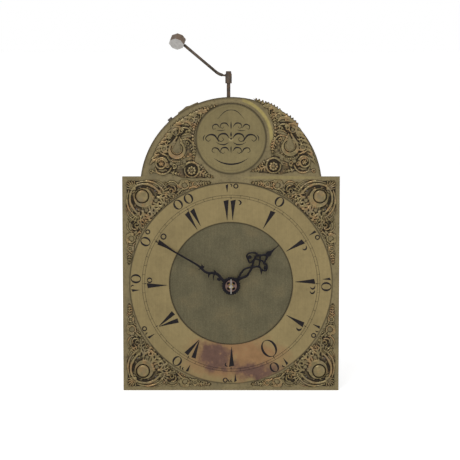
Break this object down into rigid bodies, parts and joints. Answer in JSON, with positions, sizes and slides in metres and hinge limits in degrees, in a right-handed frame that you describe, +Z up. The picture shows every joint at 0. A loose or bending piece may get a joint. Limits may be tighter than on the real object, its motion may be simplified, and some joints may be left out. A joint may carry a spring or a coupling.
{
  "type": "longcase clock dial and movement",
  "caption": "Arched brass dial with chapter ring, cast spandrels and steel hands, on a weight-driven plated movement with striking work and an upright hammer.",
  "frame": {"origin": "On the seat: the bottom edge of the front plate, under the hands' centre and midway through the plate's thickness.", "axes": "+X to the right as seen from the front of the dial, +Y back from the dial through the movement, +Z up"},
  "size_m": [0.305, 0.1631, 0.5034],
  "materials": {
    "dial_brass": "aged, uneven patina",
    "ring_brass": "aged, engraved and blacked figures",
    "cast_brass": "cast, worn on the high places, dark in the piercings",
    "boss_brass": "smooth, engraved",
    "plate_brass": "planished plate",
    "wheel_brass": "turned and crossed out",
    "arbor_steel": "turned bright steel",
    "lever_steel": "filed steel",
    "blued_steel": "blued nearly to black",
    "dark_iron": "forged, darkened",
    "hammer_steel": "forged, browned, with a bare face",
    "screw_steel": "slotted, darkened",
    "copper_brass": "pinkish domed washer",
    "pin_steel": "bright taper pin"
  },
  "bodies": {
    "frame": {"dial_plate": "dial_brass", "chapter_ring": "ring_brass", "arch_boss": "boss_brass", "spandrel_top_left": "cast_brass", "spandrel_top_right": "cast_brass", "spandrel_bottom_left": "cast_brass", "spandrel_bottom_right": "cast_brass", "arch_spandrel_left": "cast_brass", "arch_spandrel_right": "cast_brass", "spandrel_screws": "screw_steel", "dial_feet": "plate_brass", "arch_backing_plate": "plate_brass", "hammer_strap": "dark_iron", "strap_screw": "screw_steel", "strap_washer": "screw_steel", "front_plate": "plate_brass", "back_plate": "plate_brass", "pillars": "plate_brass", "taper_pins": "pin_steel", "back_cock": "plate_brass", "cock_screws": "screw_steel", "hammer_cock": "plate_brass", "studs": "arbor_steel", "hand_washer": "copper_brass", "hand_pin": "pin_steel"},
    "going_great": {"going_great_arbor": "arbor_steel", "going_great_wheel": "wheel_brass", "going_sprocket": "wheel_brass"},
    "second": {"second_arbor": "arbor_steel", "second_wheel": "wheel_brass"},
    "escape": {"escape_arbor": "arbor_steel", "escape_wheel": "wheel_brass"},
    "pallet": {"pallet_arbor": "arbor_steel", "pallets": "lever_steel", "crutch": "lever_steel"},
    "drive": {"drive_wheel": "wheel_brass", "friction_spring": "arbor_steel"},
    "minute": {"minute_wheel": "wheel_brass", "minute_hand": "blued_steel"},
    "hour": {"hour_wheel": "wheel_brass", "hour_hand": "blued_steel"},
    "strike_great": {"strike_great_arbor": "arbor_steel", "strike_great_wheel": "wheel_brass", "click_spring": "lever_steel", "report_pinion": "arbor_steel"},
    "strike_rope_wheel": {"strike_sprocket": "wheel_brass"},
    "click": {"click": "lever_steel"},
    "hoop": {"hoop_arbor": "arbor_steel", "hoop_wheel": "wheel_brass"},
    "warning": {"warning_arbor": "arbor_steel", "warning_wheel": "wheel_brass"},
    "fly": {"fly_arbor": "arbor_steel", "fly": "wheel_brass"},
    "count": {"count_wheel": "wheel_brass"},
    "lifting": {"lifting_piece": "lever_steel"},
    "detent": {"locking_detent": "lever_steel"},
    "lifter": {"hammer_lifter": "lever_steel"},
    "hammer": {"hammer_arbor": "dark_iron", "hammer_arm": "dark_iron", "hammer_head": "hammer_steel"}
  },
  "joints": [
    {"name": "minute_turn", "type": "hinge", "parent": "frame", "child": "minute", "pos_m": [0, -0.02, 0.11], "axis": [0, 1, 0], "continuous": true},
    {"name": "hour_turn", "type": "hinge", "parent": "frame", "child": "hour", "pos_m": [0, -0.02, 0.11], "axis": [0, 1, 0], "continuous": true},
    {"name": "drive_turn", "type": "hinge", "parent": "frame", "child": "drive", "pos_m": [0.033, -0.01, 0.07514], "axis": [0, 1, 0], "continuous": true},
    {"name": "going_second_turn", "type": "hinge", "parent": "frame", "child": "second", "pos_m": [0.02641, 0.03, 0.11368], "axis": [0, 1, 0], "continuous": true},
    {"name": "going_great_turn", "type": "hinge", "parent": "frame", "child": "going_great", "pos_m": [0.033, 0.03, 0.07514], "axis": [0, 1, 0], "continuous": true},
    {"name": "escape_turn", "type": "hinge", "parent": "frame", "child": "escape", "pos_m": [0, 0.03, 0.124], "axis": [0, 1, 0], "continuous": true},
    {"name": "pallet_swing", "type": "hinge", "parent": "frame", "child": "pallet", "pos_m": [0, 0.03, 0.14946], "axis": [0, 1, 0], "range_deg": [-2.5, 2.5]},
    {"name": "warning_turn", "type": "hinge", "parent": "frame", "child": "warning", "pos_m": [-0.03179, 0.03, 0.13292], "axis": [0, 1, 0], "continuous": true},
    {"name": "strike_great_turn", "type": "hinge", "parent": "frame", "child": "strike_great", "pos_m": [-0.04, 0.03, 0.072], "axis": [0, 1, 0], "continuous": true},
    {"name": "hoop_turn", "type": "hinge", "parent": "frame", "child": "hoop", "pos_m": [-0.04693, 0.03, 0.11129], "axis": [0, 1, 0], "continuous": true},
    {"name": "fly_turn", "type": "hinge", "parent": "frame", "child": "fly", "pos_m": [-0.03825, 0.03, 0.15068], "axis": [0, 1, 0], "continuous": true},
    {"name": "count_turn", "type": "hinge", "parent": "frame", "child": "count", "pos_m": [-0.02394, 0.07, 0.09494], "axis": [0, 1, 0], "continuous": true},
    {"name": "strike_rope_wheel_turn", "type": "hinge", "parent": "strike_great", "child": "strike_rope_wheel", "pos_m": [-0.04, 0.031, 0.072], "axis": [0, 1, 0], "continuous": true},
    {"name": "click_pivot", "type": "hinge", "parent": "strike_great", "child": "click", "pos_m": [-0.02056, 0.04, 0.09144], "axis": [0, 1, 0], "range_deg": [0, 10]},
    {"name": "lifting_piece_lift", "type": "hinge", "parent": "frame", "child": "lifting", "pos_m": [-0.06, -0.004, 0.12], "axis": [0, -1, 0], "range_deg": [0, 8]},
    {"name": "detent_lift", "type": "hinge", "parent": "frame", "child": "detent", "pos_m": [-0.06, 0.03, 0.148], "axis": [0, -1, 0], "range_deg": [0, 9]},
    {"name": "hammer_lifter_swing", "type": "hinge", "parent": "frame", "child": "lifter", "pos_m": [-0.00476, 0.03, 0.10157], "axis": [0, -1, 0], "range_deg": [0, 10]},
    {"name": "hammer_swing", "type": "hinge", "parent": "frame", "child": "hammer", "pos_m": [-0.0035, -0.022, 0.3], "axis": [0, 0, 1], "range_deg": [0, 12]}
  ],
  "couplings": [
    {"joint": "hour_turn", "follows": "minute_turn", "ratio": 0.083333},
    {"joint": "drive_turn", "follows": "minute_turn", "ratio": -1},
    {"joint": "going_second_turn", "follows": "escape_turn", "ratio": -0.125},
    {"joint": "going_great_turn", "follows": "escape_turn", "ratio": 0.016667},
    {"joint": "warning_turn", "follows": "fly_turn", "ratio": -0.125},
    {"joint": "hoop_turn", "follows": "fly_turn", "ratio": 0.0125},
    {"joint": "strike_great_turn", "follows": "fly_turn", "ratio": -0.00096154},
    {"joint": "count_turn", "follows": "fly_turn", "ratio": 0.00016026},
    {"joint": "detent_lift", "follows": "lifting_piece_lift", "ratio": 1.1},
    {"joint": "hammer_swing", "follows": "hammer_lifter_swing", "ratio": 1.2}
  ]
}
